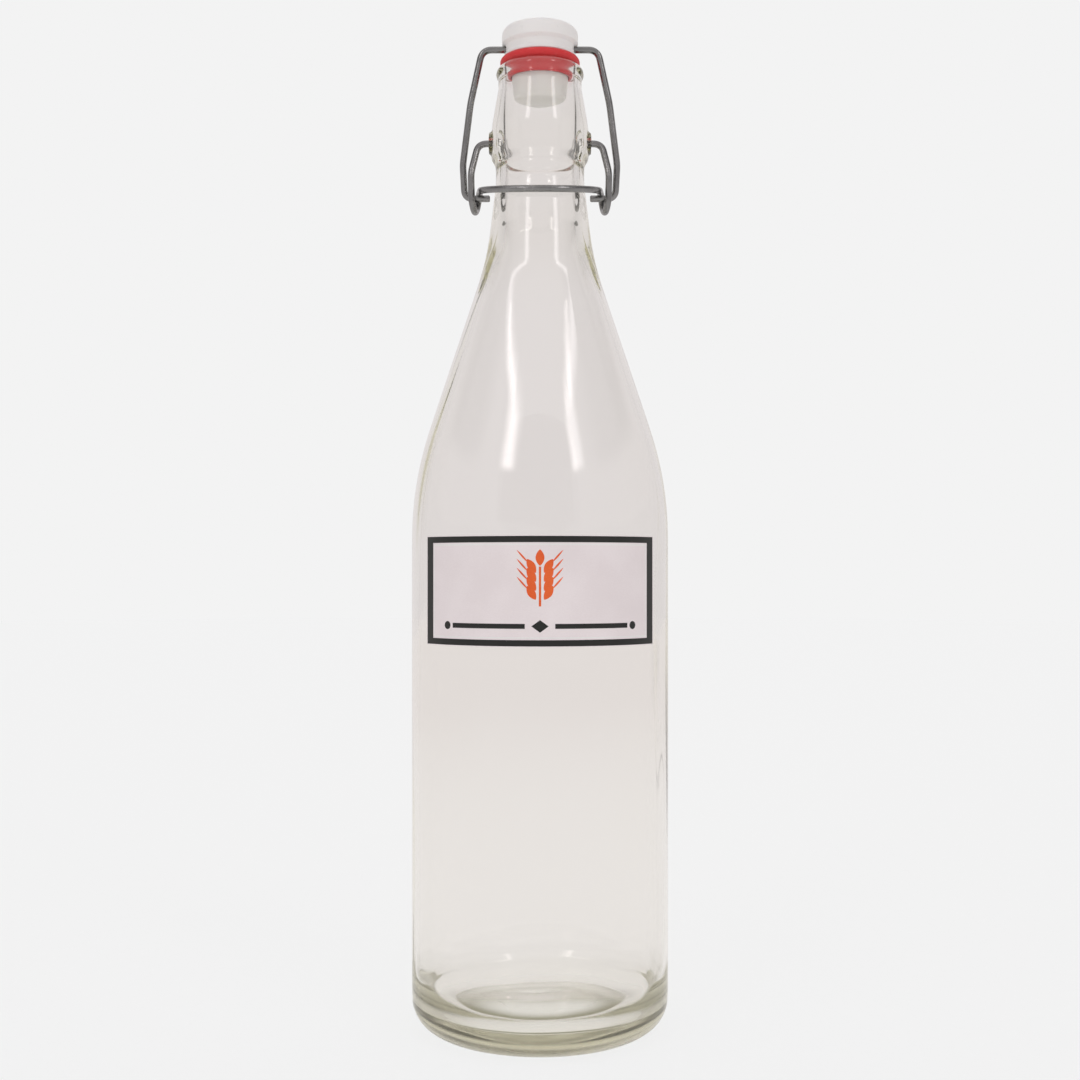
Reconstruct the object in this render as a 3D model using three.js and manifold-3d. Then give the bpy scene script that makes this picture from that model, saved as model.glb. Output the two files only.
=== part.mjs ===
// A tall one-litre swing-top bottle in clear glass: bottle, stopper, gasket, bail, lever and label.
// Millimetres, +Z up. The origin is on the surface it stands on, on the bottle's axis, and the
// label and the lever's crossbar face -Y. The stopper is closed.
import Module from 'manifold-3d';
import * as THREE from 'three';
import { mergeVertices } from 'three/addons/utils/BufferGeometryUtils.js';

// Bottle, outside, from the base up
const BODY_RADIUS = 42;
const HEEL_RADIUS = 10.2;
const BEARING_INNER_RADIUS = 29.4; // the flat ring that it stands on ends here
const PUSH_UP = 4.5; // height of the dome under the base
const SHOULDER_START = 160;
const SHOULDER_RADIUS = 111; // convex arc from the straight side into the cone
const CONE_ANGLE = 18.4; // of the long shoulder cone, from upright
const CONE_TOP = 244;
const NECK_BLEND_RADIUS = 82; // concave arc from the cone into the neck
const NECK_ANGLE = 7;
const NECK_RADIUS = 14.4;
const COLLAR_RADIUS = 15.9;
const COLLAR_BOTTOM = 284;
const COLLAR_TOP = 291.5;
const COLLAR_BLEND_RADIUS = 36;
const FINISH_ANGLE = 9.6; // taper between the collar and the lip
const FINISH_TOP_RADIUS = 13.7;
const LIP_RADIUS = 14.4;
const LIP_BEAD_RADIUS = 2.4;
const LIP_TOP = 314.8;

// Bottle, inside
const WALL = 2.4;
const BASE_THICKNESS = 6;
const INNER_HEEL_RADIUS = 12;
const BORE_RADIUS = 11.3;
const BORE_EDGE = 0.8;
const BORE_BOTTOM = 262;
const BORE_FLARE_END = 238;

// Boss on each side of the collar, with a blind hole for the lever's end
const BOSS_RADIUS = 3.2;
const BOSS_FACE = 16.8;
const BOSS_ROOT = 13;
const PIVOT_HEIGHT = 289.9;
const PIVOT_HOLE_RADIUS = 1.45;
const PIVOT_HOLE_END = 13.4;

// Stopper and gasket
const HEAD_RADIUS = 12.5;
const HEAD_TOP = 327.7;
const HEAD_BOTTOM = 317.8;
const HEAD_EDGE = 2.6;
const HEAD_RIM = 322.4; // underside of the wide cap
const WAIST_RADIUS = 11.2;
const FOOT_RADIUS = 11.9;
const STEM_RADIUS = 9.6;
const STEM_TIP_RADIUS = 8.3;
const STEM_DOME_START = 303;
const STEM_TIP = 300.6;
const CROSS_HOLE_RADIUS = 1.5;
const CROSS_HOLE_HEIGHT = 320.8;
const GASKET_RADIUS = 13.1;
const GASKET_GAP = 0.3;
const SKIRT_BOTTOM = 310.6; // the gasket's thin skirt goes into the mouth
const SKIRT_RADIUS = 10.5;

// Wires
const WIRE_RADIUS = 1.1;
const WIRE_SIDES = 8;
const BEND_STEP = 20; // degrees of bend between two sections of a wire
const LEVER_END = 13.8;
const EYE_RADIUS = 3.45; // centre line of the coil that the bail's end turns in
const EYE_CENTRE = { y: 0.6, z: 271 };
const EYE_OUTER_X = 22.4;
const EYE_INNER_X = 19.6;
const CROSSBAR_SLOPE = 11.7; // degrees that the crossbar's plane falls to the front
const CROSSBAR_REACH = 17.4;
const BAIL_PIVOT = { y: 0.6, z: 271.95 };
const BAIL_END = 16.5;

// Label wrapped round the front of the body
const LABEL_BOTTOM = 126.4;
const LABEL_HEIGHT = 33.7;
const LABEL_GAP = 0.3;
const LABEL_THICKNESS = 0.2;
const LABEL_FACETS = 20;

const ROUND_FACETS = 64;
const SMALL_FACETS = 32;

const wasm = await Module();
wasm.setup();

const radians = THREE.MathUtils.degToRad;

// --- helpers -------------------------------------------------------------------------------

// Points of an arc in an outline, from one angle to another, in degrees from the +X direction.
function arc(centreX, centreY, radius, from, to, steps) {
  const points = [];
  for (let i = 0; i <= steps; i += 1) {
    const angle = radians(from + ((to - from) * i) / steps);
    points.push([centreX + radius * Math.cos(angle), centreY + radius * Math.sin(angle)]);
  }
  return points;
}

// A solid of revolution about Z from an outline of [radius, height] pairs.
function turned(outline, facets) {
  const points = outline.map(([radius, height]) => new THREE.Vector2(radius, height));
  return new THREE.LatheGeometry(points, facets).rotateX(Math.PI / 2);
}

// Only the position and the faces, with shared vertices merged and collapsed faces dropped.
function welded(geometry) {
  const bare = geometry.clone();
  bare.deleteAttribute('normal');
  bare.deleteAttribute('uv');
  const merged = mergeVertices(bare, 1e-4);
  const kept = [];
  const corners = merged.index.array;
  for (let i = 0; i < corners.length; i += 3) {
    const [a, b, c] = [corners[i], corners[i + 1], corners[i + 2]];
    if (a !== b && b !== c && c !== a) {
      kept.push(a, b, c);
    }
  }
  merged.setIndex(kept);
  return merged;
}

function toManifold(geometry) {
  const merged = welded(geometry);
  return new wasm.Manifold(new wasm.Mesh({
    numProp: 3,
    vertProperties: new Float32Array(merged.attributes.position.array),
    triVerts: new Uint32Array(merged.index.array),
  }));
}

function toGeometry(solid) {
  const mesh = solid.getMesh();
  const geometry = new THREE.BufferGeometry();
  geometry.setAttribute('position', new THREE.BufferAttribute(mesh.vertProperties, 3));
  geometry.setIndex(new THREE.BufferAttribute(mesh.triVerts, 1));
  geometry.computeVertexNormals();
  return geometry;
}

// A cylinder along X between two places, at a height on the Y = 0 plane.
function crossCylinder(radius, fromX, toX, height, facets) {
  const geometry = new THREE.CylinderGeometry(radius, radius, toX - fromX, facets);
  geometry.rotateZ(Math.PI / 2);
  geometry.translate((fromX + toX) / 2, 0, height);
  return toManifold(geometry);
}

// A wire's route through the corners it is bent at, each with its bend's radius; the sections
// of the wire fall on the route's own points, so a bend gets more of them than a straight.
class WireRoute extends THREE.CatmullRomCurve3 {
  getUtoTmapping(share) {
    return share;
  }
}

function bentRoute(corners) {
  const route = [corners[0].at];
  for (let i = 1; i < corners.length - 1; i += 1) {
    const { at, bend } = corners[i];
    const arriving = at.clone().sub(corners[i - 1].at).normalize();
    const leaving = corners[i + 1].at.clone().sub(at).normalize();
    const turn = arriving.angleTo(leaving);
    const start = at.clone().addScaledVector(arriving, -bend * Math.tan(turn / 2));
    const inward = leaving.clone().addScaledVector(arriving, -Math.cos(turn)).normalize();
    const steps = Math.max(2, Math.ceil(turn / radians(BEND_STEP)));
    for (let k = 0; k <= steps; k += 1) {
      const angle = (turn * k) / steps;
      const point = start.clone();
      point.addScaledVector(arriving, bend * Math.sin(angle));
      point.addScaledVector(inward, bend * (1 - Math.cos(angle)));
      route.push(point);
    }
  }
  route.push(corners[corners.length - 1].at);
  return route;
}

function wireAlong(points) {
  const round = arc(0, 0, WIRE_RADIUS, 0, 360, WIRE_SIDES).slice(1);
  const section = new THREE.Shape(round.map(([x, y]) => new THREE.Vector2(x, y)));
  const extrudePath = new WireRoute(points, false, 'centripetal');
  return new THREE.ExtrudeGeometry(section, { steps: points.length - 1, extrudePath });
}

// The left half of a wire, in order, followed by the same points mirrored to the right.
function mirroredRoute(leftHalf, sharedMiddle) {
  const rightHalf = leftHalf.map((point) => new THREE.Vector3(-point.x, point.y, point.z));
  return [...leftHalf, ...sharedMiddle, ...rightHalf.reverse()];
}

// --- the pieces ----------------------------------------------------------------------------

function bottleOutline() {
  const slope = radians(CONE_ANGLE);
  const neckSlope = radians(NECK_ANGLE);
  const finishSlope = radians(FINISH_ANGLE);
  const shoulderCentre = BODY_RADIUS - SHOULDER_RADIUS;
  const coneStart = {
    r: shoulderCentre + SHOULDER_RADIUS * Math.cos(slope),
    z: SHOULDER_START + SHOULDER_RADIUS * Math.sin(slope),
  };
  const coneRadius = (z) => coneStart.r - (z - coneStart.z) * Math.tan(slope);
  const blend = {
    r: coneRadius(CONE_TOP) + NECK_BLEND_RADIUS * Math.cos(slope),
    z: CONE_TOP + NECK_BLEND_RADIUS * Math.sin(slope),
  };
  const neckStart = {
    r: blend.r - NECK_BLEND_RADIUS * Math.cos(neckSlope),
    z: blend.z - NECK_BLEND_RADIUS * Math.sin(neckSlope),
  };
  const neckTop = neckStart.z + (neckStart.r - NECK_RADIUS) / Math.tan(neckSlope);
  const finishStart = {
    r: COLLAR_RADIUS - COLLAR_BLEND_RADIUS * (1 - Math.cos(finishSlope)),
    z: COLLAR_TOP + COLLAR_BLEND_RADIUS * Math.sin(finishSlope),
  };
  const finishTop = finishStart.z + (finishStart.r - FINISH_TOP_RADIUS) / Math.tan(finishSlope);
  const domeRadius = (BEARING_INNER_RADIUS ** 2 + PUSH_UP ** 2) / (2 * PUSH_UP);
  const domeEdge = THREE.MathUtils.radToDeg(Math.acos(BEARING_INNER_RADIUS / domeRadius));
  const beadCentre = { r: LIP_RADIUS - LIP_BEAD_RADIUS, z: LIP_TOP - LIP_BEAD_RADIUS };

  const outside = [
    [0, PUSH_UP],
    ...arc(0, PUSH_UP - domeRadius, domeRadius, 90, domeEdge, 4).slice(1),
    ...arc(BODY_RADIUS - HEEL_RADIUS, HEEL_RADIUS, HEEL_RADIUS, -90, 0, 6),
    ...arc(shoulderCentre, SHOULDER_START, SHOULDER_RADIUS, 0, CONE_ANGLE, 5),
    ...arc(blend.r, blend.z, NECK_BLEND_RADIUS, 180 + CONE_ANGLE, 180 + NECK_ANGLE, 3),
    [NECK_RADIUS, neckTop],
    [NECK_RADIUS, COLLAR_BOTTOM - 1.4],
    [COLLAR_RADIUS - 0.4, COLLAR_BOTTOM - 0.4],
    [COLLAR_RADIUS, COLLAR_BOTTOM + 0.4],
    ...arc(COLLAR_RADIUS - COLLAR_BLEND_RADIUS, COLLAR_TOP, COLLAR_BLEND_RADIUS, 0, FINISH_ANGLE, 2),
    [FINISH_TOP_RADIUS, finishTop],
    ...arc(beadCentre.r, beadCentre.z, LIP_BEAD_RADIUS, -45, 90, 6),
  ];

  const innerBase = PUSH_UP + BASE_THICKNESS;
  const innerRadius = BODY_RADIUS - WALL;
  const innerHeel = { r: innerRadius - INNER_HEEL_RADIUS, z: BASE_THICKNESS + INNER_HEEL_RADIUS + 1 };
  const innerCone = (z) => coneRadius(z) - WALL / Math.cos(slope);
  const inside = [
    ...arc(BORE_RADIUS + BORE_EDGE, LIP_TOP - BORE_EDGE, BORE_EDGE, 90, 180, 2),
    [BORE_RADIUS, BORE_BOTTOM],
    [BORE_RADIUS + 1.3, BORE_BOTTOM - 6],
    [innerCone(BORE_FLARE_END) - 3.4, BORE_FLARE_END + 8.5],
    [innerCone(BORE_FLARE_END), BORE_FLARE_END],
    ...arc(shoulderCentre, SHOULDER_START, SHOULDER_RADIUS - WALL, CONE_ANGLE, 0, 5),
    ...arc(innerHeel.r, innerHeel.z, INNER_HEEL_RADIUS, 0, -80, 4),
    [0, innerBase],
  ];
  return [...outside, ...inside];
}

function bottleGeometry() {
  let glass = toManifold(turned(bottleOutline(), ROUND_FACETS));
  for (const side of [-1, 1]) {
    const along = (from, to) => (side > 0 ? [from, to] : [-to, -from]);
    const boss = crossCylinder(BOSS_RADIUS, ...along(BOSS_ROOT, BOSS_FACE), PIVOT_HEIGHT, 24);
    const hole = crossCylinder(
      PIVOT_HOLE_RADIUS,
      ...along(PIVOT_HOLE_END, BOSS_FACE + 2),
      PIVOT_HEIGHT,
      16,
    );
    glass = glass.add(boss).subtract(hole);
  }
  return toGeometry(glass);
}

function stopperGeometry() {
  const dome = STEM_DOME_START - STEM_TIP;
  const tip = [90, 60, 30, 0].map((angle) => [
    STEM_TIP_RADIUS * Math.cos(radians(angle)),
    STEM_DOME_START - dome * Math.sin(radians(angle)),
  ]);
  tip[0][0] = 0;
  const outline = [
    ...tip,
    [STEM_RADIUS, LIP_TOP],
    [STEM_RADIUS, HEAD_BOTTOM],
    [FOOT_RADIUS, HEAD_BOTTOM],
    [FOOT_RADIUS, HEAD_BOTTOM + 0.8],
    [WAIST_RADIUS, HEAD_BOTTOM + 1.6],
    [WAIST_RADIUS, HEAD_RIM - 0.8],
    [HEAD_RADIUS, HEAD_RIM],
    ...arc(HEAD_RADIUS - HEAD_EDGE, HEAD_TOP - HEAD_EDGE, HEAD_EDGE, 0, 90, 4),
    [0, HEAD_TOP],
  ];
  const moulding = toManifold(turned(outline, SMALL_FACETS));
  const reach = HEAD_RADIUS + 1;
  const hole = crossCylinder(CROSS_HOLE_RADIUS, -reach, reach, CROSS_HOLE_HEIGHT, 16);
  return toGeometry(moulding.subtract(hole));
}

function gasketGeometry() {
  const bottom = LIP_TOP + GASKET_GAP;
  const top = HEAD_BOTTOM - GASKET_GAP;
  const inner = STEM_RADIUS + GASKET_GAP;
  const edge = (top - bottom) / 2;
  return turned([
    [inner, SKIRT_BOTTOM],
    [SKIRT_RADIUS - 0.3, SKIRT_BOTTOM],
    [SKIRT_RADIUS, LIP_TOP - BORE_EDGE],
    [SKIRT_RADIUS + 0.4, bottom],
    ...arc(GASKET_RADIUS - edge, (top + bottom) / 2, edge, -90, 90, 4),
    [inner, top],
    [inner, SKIRT_BOTTOM],
  ], SMALL_FACETS);
}

function bailGeometry() {
  const corner = (x, y, z, bend) => ({ at: new THREE.Vector3(x, y, z), bend });
  const leftHalf = bentRoute([
    corner(-BAIL_END, BAIL_PIVOT.y, BAIL_PIVOT.z),
    corner(-24.8, BAIL_PIVOT.y, BAIL_PIVOT.z, 2.5),
    corner(-25.4, 0.4, 283, 14),
    corner(-22.9, 0.1, 303, 40),
    corner(-19, 0, CROSS_HOLE_HEIGHT, 3.4),
    corner(0, 0, CROSS_HOLE_HEIGHT),
  ]);
  const middle = leftHalf.pop();
  return wireAlong(mirroredRoute(leftHalf, [middle]));
}

function leverGeometry() {
  const corner = (x, y, z, bend) => ({ at: new THREE.Vector3(x, y, z), bend });
  const front = EYE_CENTRE.y - EYE_RADIUS;
  const leg = bentRoute([
    corner(-LEVER_END, 0, PIVOT_HEIGHT),
    corner(-20.3, 0, PIVOT_HEIGHT, 3.1),
    corner(-22.6, front, 279.5, 10),
    corner(-EYE_OUTER_X, front, EYE_CENTRE.z),
  ]);
  const eyeTurn = 270 + CROSSBAR_SLOPE;
  const eyeSteps = Math.round(eyeTurn / BEND_STEP);
  const eye = [];
  for (let i = 1; i <= eyeSteps; i += 1) {
    const angle = radians((eyeTurn * i) / eyeSteps);
    eye.push(new THREE.Vector3(
      -EYE_OUTER_X + ((EYE_OUTER_X - EYE_INNER_X) * i) / eyeSteps,
      EYE_CENTRE.y - EYE_RADIUS * Math.cos(angle),
      EYE_CENTRE.z - EYE_RADIUS * Math.sin(angle),
    ));
  }
  const start = eye[eye.length - 1];
  const fall = radians(CROSSBAR_SLOPE);
  const crossbar = [];
  const crossbarSteps = 16;
  for (let i = 1; i < crossbarSteps; i += 1) {
    const angle = (Math.PI * i) / crossbarSteps;
    const forward = CROSSBAR_REACH * Math.sin(angle);
    crossbar.push(new THREE.Vector3(
      -EYE_INNER_X * Math.cos(angle),
      start.y - forward * Math.cos(fall),
      start.z - forward * Math.sin(fall),
    ));
  }
  return wireAlong(mirroredRoute([...leg, ...eye], crossbar));
}

function labelGeometry() {
  const inner = BODY_RADIUS + LABEL_GAP;
  const outer = inner + LABEL_THICKNESS;
  const half = (LABEL_FACETS / ROUND_FACETS) * 180;
  const section = new THREE.Shape([
    ...arc(0, 0, outer, -90 - half, -90 + half, LABEL_FACETS),
    ...arc(0, 0, inner, -90 + half, -90 - half, LABEL_FACETS),
  ].map(([x, y]) => new THREE.Vector2(x, y)));
  const geometry = new THREE.ExtrudeGeometry(section, { depth: LABEL_HEIGHT, bevelEnabled: false });
  return geometry.translate(0, 0, LABEL_BOTTOM);
}

// --- assembly ------------------------------------------------------------------------------

function piece(name, geometry, color, roughness, metalness) {
  const material = new THREE.MeshStandardMaterial({ color, roughness, metalness });
  const mesh = new THREE.Mesh(geometry, material);
  mesh.name = name;
  return mesh;
}

const bottle = new THREE.Group();
bottle.add(piece('glass_bottle', bottleGeometry(), 0xdfe3dc, 0.05, 0));
bottle.add(piece('front_label', labelGeometry(), 0xe5dcdd, 0.6, 0));
bottle.add(piece('lever_wire', leverGeometry(), 0x8a8c8a, 0.35, 1));
bottle.add(piece('bail_wire', bailGeometry(), 0x8a8c8a, 0.35, 1));
bottle.add(piece('stopper', stopperGeometry(), 0xeceae8, 0.4, 0));
bottle.add(piece('gasket', gasketGeometry(), 0xc0303a, 0.6, 0));

export default bottle;
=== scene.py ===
"""The looks of a one-litre swing-top bottle, built round its CAD frame.

Shapes are in millimetres and become metres in add_object. Distances inside materials, and the
camera's place, are in metres.
"""
import math

import bpy
import numpy as np
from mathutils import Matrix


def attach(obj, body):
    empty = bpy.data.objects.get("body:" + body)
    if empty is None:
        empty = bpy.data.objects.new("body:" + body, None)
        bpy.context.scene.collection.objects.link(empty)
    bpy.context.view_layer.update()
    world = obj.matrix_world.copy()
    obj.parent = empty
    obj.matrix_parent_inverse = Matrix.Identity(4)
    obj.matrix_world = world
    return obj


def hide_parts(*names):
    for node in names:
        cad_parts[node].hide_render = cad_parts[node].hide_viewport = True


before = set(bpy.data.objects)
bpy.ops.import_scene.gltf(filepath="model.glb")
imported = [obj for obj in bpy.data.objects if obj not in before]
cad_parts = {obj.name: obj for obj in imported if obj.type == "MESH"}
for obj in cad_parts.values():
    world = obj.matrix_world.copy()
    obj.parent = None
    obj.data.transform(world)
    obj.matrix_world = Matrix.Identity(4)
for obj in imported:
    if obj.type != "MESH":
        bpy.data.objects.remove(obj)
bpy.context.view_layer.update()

MM = 0.001

# Bottle. A size that the CAD part has too keeps the part's value.
BODY_RADIUS = 42.0
HEEL_RADIUS = 10.2
BEARING_INNER_RADIUS = 29.4
PUSH_UP = 4.5
SHOULDER_START = 160.0
SHOULDER_RADIUS = 111.0
CONE_ANGLE = math.radians(18.4)
CONE_TOP = 244.0
NECK_BLEND_RADIUS = 82.0
NECK_ANGLE = math.radians(7.0)
NECK_RADIUS = 14.4
COLLAR_RADIUS = 15.9
COLLAR_BOTTOM = 284.0
COLLAR_TOP = 291.5
COLLAR_BLEND_RADIUS = 36.0
FINISH_ANGLE = math.radians(9.6)
FINISH_TOP_RADIUS = 13.7
LIP_RADIUS = 14.4
LIP_BEAD_RADIUS = 2.4
LIP_TOP = 314.8
WALL = 2.4
BASE_THICKNESS = 6.0
INNER_HEEL_RADIUS = 12.0
BORE_RADIUS = 11.3
BORE_EDGE = 0.8
BORE_BOTTOM = 262.0
BORE_FLARE_END = 238.0
BOSS_RADIUS = 3.2
BOSS_FACE = 16.8
PIVOT_HEIGHT = 289.9
PIVOT_HOLE_RADIUS = 1.45
PIVOT_HOLE_END = 13.4
PARTING_LINE = 281.2  # where the mould of the finish met the mould of the body

# Stopper and gasket
HEAD_RADIUS = 12.5
HEAD_TOP = 327.7
HEAD_BOTTOM = 317.8
HEAD_EDGE = 2.6
HEAD_RIM = 322.4
WAIST_RADIUS = 11.2
FOOT_RADIUS = 11.9
STEM_RADIUS = 9.6
STEM_TIP_RADIUS = 8.3
STEM_DOME_START = 303.0
STEM_TIP = 300.6
CROSS_HOLE_RADIUS = 1.5
CROSS_HOLE_HEIGHT = 320.8
GASKET_RADIUS = 13.1
SKIRT_BOTTOM = 310.6
SKIRT_RADIUS = 10.5
AIR_GAP = 0.04  # the rubber is too rough to wet the glass

# Wires
WIRE_RADIUS = 1.1
LEVER_END = 13.8
EYE_RADIUS = 3.45
EYE_Y = 0.6
EYE_Z = 271.0
EYE_OUTER_X = 22.4
EYE_INNER_X = 19.6
CROSSBAR_SLOPE = 11.7
CROSSBAR_REACH = 17.4
LEG_TOP_X = 20.3
LEG_TOP_BEND = 3.1
LEG_KNEE = (22.6, 279.5)  # x and z
LEG_KNEE_BEND = 10
BAIL_PIVOT_Y = 0.6
BAIL_PIVOT_Z = 271.95
BAIL_END = 16.5
BAIL_CORNERS = [  # x, y, z and the radius of the bend, from below to above
    (-24.8, BAIL_PIVOT_Y, BAIL_PIVOT_Z, 2.5),
    (-25.4, 0.4, 283, 14),
    (-22.9, 0.1, 303, 40),
    (-19, 0, CROSS_HOLE_HEIGHT, 3.4),
]

# Label
LABEL_BOTTOM = 126.4
LABEL_HEIGHT = 33.7
LABEL_GAP = 0.3
LABEL_THICKNESS = 0.2
LABEL_HALF_ANGLE = math.radians(56.25)
LABEL_INNER = BODY_RADIUS + LABEL_GAP
LABEL_OUTER = LABEL_INNER + LABEL_THICKNESS
LABEL_HALF_WIDTH = LABEL_OUTER * LABEL_HALF_ANGLE
LABEL_MIDDLE = LABEL_BOTTOM + LABEL_HEIGHT / 2

# Stage: brightness of the backdrop, of the floor, and of the studio round the bottle
STUDIO_COLOUR = (1.0, 0.955, 0.962, 1)
BACKDROP_COLOUR = (0.896, 0.896, 0.896, 1)  # the world as the camera sees it
FLOOR_COLOUR = (0.774, 0.779, 0.779, 1)  # the floor as the camera sees it
UNDER_SHADE_COLOUR = (0.70, 0.69, 0.66, 1)  # a lighter painted shade on the floor under the middle of the base
SHADE_COLOUR = (0.17, 0.16, 0.08, 1)  # a painted shade under the base's thick rim
NEAR_COLOUR = (0.735, 0.715, 0.705, 1)  # the floor as the glass passes it on, near the bottle
FAR_COLOUR = (0.68, 0.645, 0.635, 1)  # and far from it
SHADE_START = (0.014, 0.027)  # where one colour fades into the next, in metres from the axis
SHADE_END = (0.0285, 0.0305)
FAR_START = (0.15, 1.3)
FLOOR_DROP = 0.0004  # metres, so that the floor doesn't touch the base
FRONT_LEVEL = 0.66
SIDE_LEVEL = 0.68
BACK_LEVEL = 0.79
TOP_LEVEL = 0.25  # added to the others overhead
SIDE_START = (58.0, 100.0)  # where one level fades into the next, in degrees from the front
BACK_START = (118.0, 166.0)
TOP_START = (35.0, 80.0)  # in degrees above the horizon
# Lamps, and dark cards with a negative strength: azimuth from and to, elevation from and to,
# softness of the edges (all in degrees), and strength
LAMPS = [
    (-35.0, -26.0, 24.0, 42.0, 2.0, 4.5),
    (-66.0, -31.0, 41.8, 43.2, 0.9, 4.2),
    (33.5, 42.0, 24.0, 41.5, 2.0, 4.5),
    (37.0, 62.0, 41.1, 42.7, 0.9, 4.2),
    (60.0, 118.0, 24.0, 62.0, 4.0, -0.44),
    (-114.0, -68.0, 24.0, 62.0, 4.0, -0.40),
]

CAMERA_PLACE = (0, -0.490, 0.1502)  # metres
LENS = 49.6  # millimetres, on a 36 mm sensor
CAMERA_SHIFT = 0.026
BOUNCES = 32  # light runs round in the thick heel many times


# --- meshes --------------------------------------------------------------------------------

def add_object(name, vertices, faces, uvs=None, smooth=True, sharp_angle=35):
    """An object from vertices in millimetres and faces, with a UV for each face corner if given."""
    mesh = bpy.data.meshes.new(name)
    mesh.from_pydata([tuple(v) for v in np.asarray(vertices, float) * MM], [], faces)
    if uvs is not None:
        layer = mesh.uv_layers.new(name="UVMap")
        layer.data.foreach_set("uv", np.asarray(uvs, np.float32).ravel())
    mesh.update()
    if smooth:
        mesh.shade_smooth()
        mesh.set_sharp_from_angle(angle=math.radians(sharp_angle))
    obj = bpy.data.objects.new(name, mesh)
    bpy.context.scene.collection.objects.link(obj)
    return obj


def arc(centre_x, centre_y, radius, start, end, steps):
    """Points of an arc, with its angles in radians."""
    angles = np.linspace(start, end, steps + 1)
    return [(centre_x + radius * math.cos(a), centre_y + radius * math.sin(a)) for a in angles]


def softened(outline, softness, step=0.2):
    """The outline in even steps, with its corners rounded by about softness(radius, height)."""
    points = np.array(outline, float)
    lengths = np.hypot(*np.diff(points, axis=0).T)
    along = np.concatenate([[0], np.cumsum(lengths)])
    even = np.linspace(0, along[-1], int(along[-1] / step))
    dense = np.stack([np.interp(even, along, points[:, i]) for i in (0, 1)], axis=1)
    reach = 40
    before = dense[reach:0:-1] * [-1, 1]
    after = dense[-2:-reach - 2:-1] * [-1, 1]
    padded = np.concatenate([before, dense, after])
    result = dense.copy()
    offsets = np.arange(-reach, reach + 1) * (along[-1] / (len(even) - 1))
    for i in range(1, len(dense) - 1):
        width = softness(*dense[i])
        weights = np.exp(-0.5 * (offsets / width) ** 2)
        result[i] = weights @ padded[i:i + 2 * reach + 1] / weights.sum()
    result[[0, -1]] = dense[[0, -1]]
    return result


def thinned(dense, spacing):
    """Fewer points of a dense outline, about spacing(radius, height) apart."""
    lengths = np.hypot(*np.diff(dense, axis=0).T)
    density = np.array([1 / spacing(*point) for point in dense[1:]])
    amount = np.concatenate([[0], np.cumsum(lengths * density)])
    wanted = np.linspace(0, amount[-1], int(amount[-1]) + 1)
    return np.stack([np.interp(wanted, amount, dense[:, i]) for i in (0, 1)], axis=1)


def lathe(outline, segments, closed=False):
    """Vertices and faces of a solid of revolution, its outline going up the outside first.

    A closed outline is a ring's section. An open one starts and ends on the axis.
    """
    ring = np.linspace(0, 2 * math.pi, segments, endpoint=False)
    body = np.array(outline if closed else outline[1:-1])
    radii, heights = body[:, 0], body[:, 1]
    x = np.outer(radii, np.cos(ring))
    y = np.outer(radii, np.sin(ring))
    z = np.repeat(heights[:, None], segments, axis=1)
    vertices = np.stack([x, y, z], axis=2).reshape(-1, 3)
    rows = len(body)
    faces = []
    for i in range(rows if closed else rows - 1):
        low, high = i * segments, ((i + 1) % rows) * segments
        for j in range(segments):
            k = (j + 1) % segments
            faces.append((low + j, low + k, high + k, high + j))
    if not closed:
        first, last = len(vertices), len(vertices) + 1
        ends = [(0, 0, outline[0][1]), (0, 0, outline[-1][1])]
        vertices = np.concatenate([vertices, ends])
        top = (rows - 1) * segments
        for j in range(segments):
            k = (j + 1) % segments
            faces.append((first, k, j))
            faces.append((last, top + j, top + k))
    return vertices, faces


def cross_cylinder(name, radius, from_x, to_x, height, sides):
    """A capped cylinder along X, to cut a hole with."""
    angles = np.linspace(0, 2 * math.pi, sides, endpoint=False)
    vertices = []
    for x in (from_x, to_x):
        vertices += [(x, radius * math.cos(a), height + radius * math.sin(a)) for a in angles]
    faces = [tuple(range(sides))[::-1], tuple(range(sides, 2 * sides))]
    for j in range(sides):
        k = (j + 1) % sides
        faces.append((j, k, sides + k, sides + j))
    return add_object(name, vertices, faces, smooth=False)


def cut(target, cutters):
    """Takes the cutters' solids out of the target's, and removes the cutters."""
    for cutter in cutters:
        modifier = target.modifiers.new("cut", "BOOLEAN")
        modifier.operation = "DIFFERENCE"
        modifier.solver = "EXACT"
        modifier.object = cutter
    graph = bpy.context.evaluated_depsgraph_get()
    mesh = bpy.data.meshes.new_from_object(target.evaluated_get(graph))
    target.modifiers.clear()
    target.data = mesh
    for cutter in cutters:
        bpy.data.objects.remove(cutter)
    mesh.shade_smooth()
    mesh.set_sharp_from_angle(angle=math.radians(35))
    return target


def bent_route(corners, step=4):
    """Points through corners (x, y, z, bend radius), with a round bend at each inner corner."""
    places = [np.array(c[:3], float) for c in corners]
    route = [places[0]]
    for i in range(1, len(places) - 1):
        bend = corners[i][3]
        arriving = places[i] - places[i - 1]
        arriving /= np.linalg.norm(arriving)
        leaving = places[i + 1] - places[i]
        leaving /= np.linalg.norm(leaving)
        turn = math.acos(np.clip(arriving @ leaving, -1, 1))
        start = places[i] - arriving * bend * math.tan(turn / 2)
        inward = leaving - arriving * math.cos(turn)
        inward /= np.linalg.norm(inward)
        steps = max(2, math.ceil(math.degrees(turn) / step))
        for k in range(steps + 1):
            a = turn * k / steps
            route.append(start + arriving * bend * math.sin(a) + inward * bend * (1 - math.cos(a)))
    route.append(places[-1])
    return route


def mirrored(left_half, middle):
    """A left half followed by the middle points and the same half mirrored to the right."""
    right_half = [point * [-1, 1, 1] for point in left_half[::-1]]
    return np.array([*left_half, *middle, *right_half])


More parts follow.
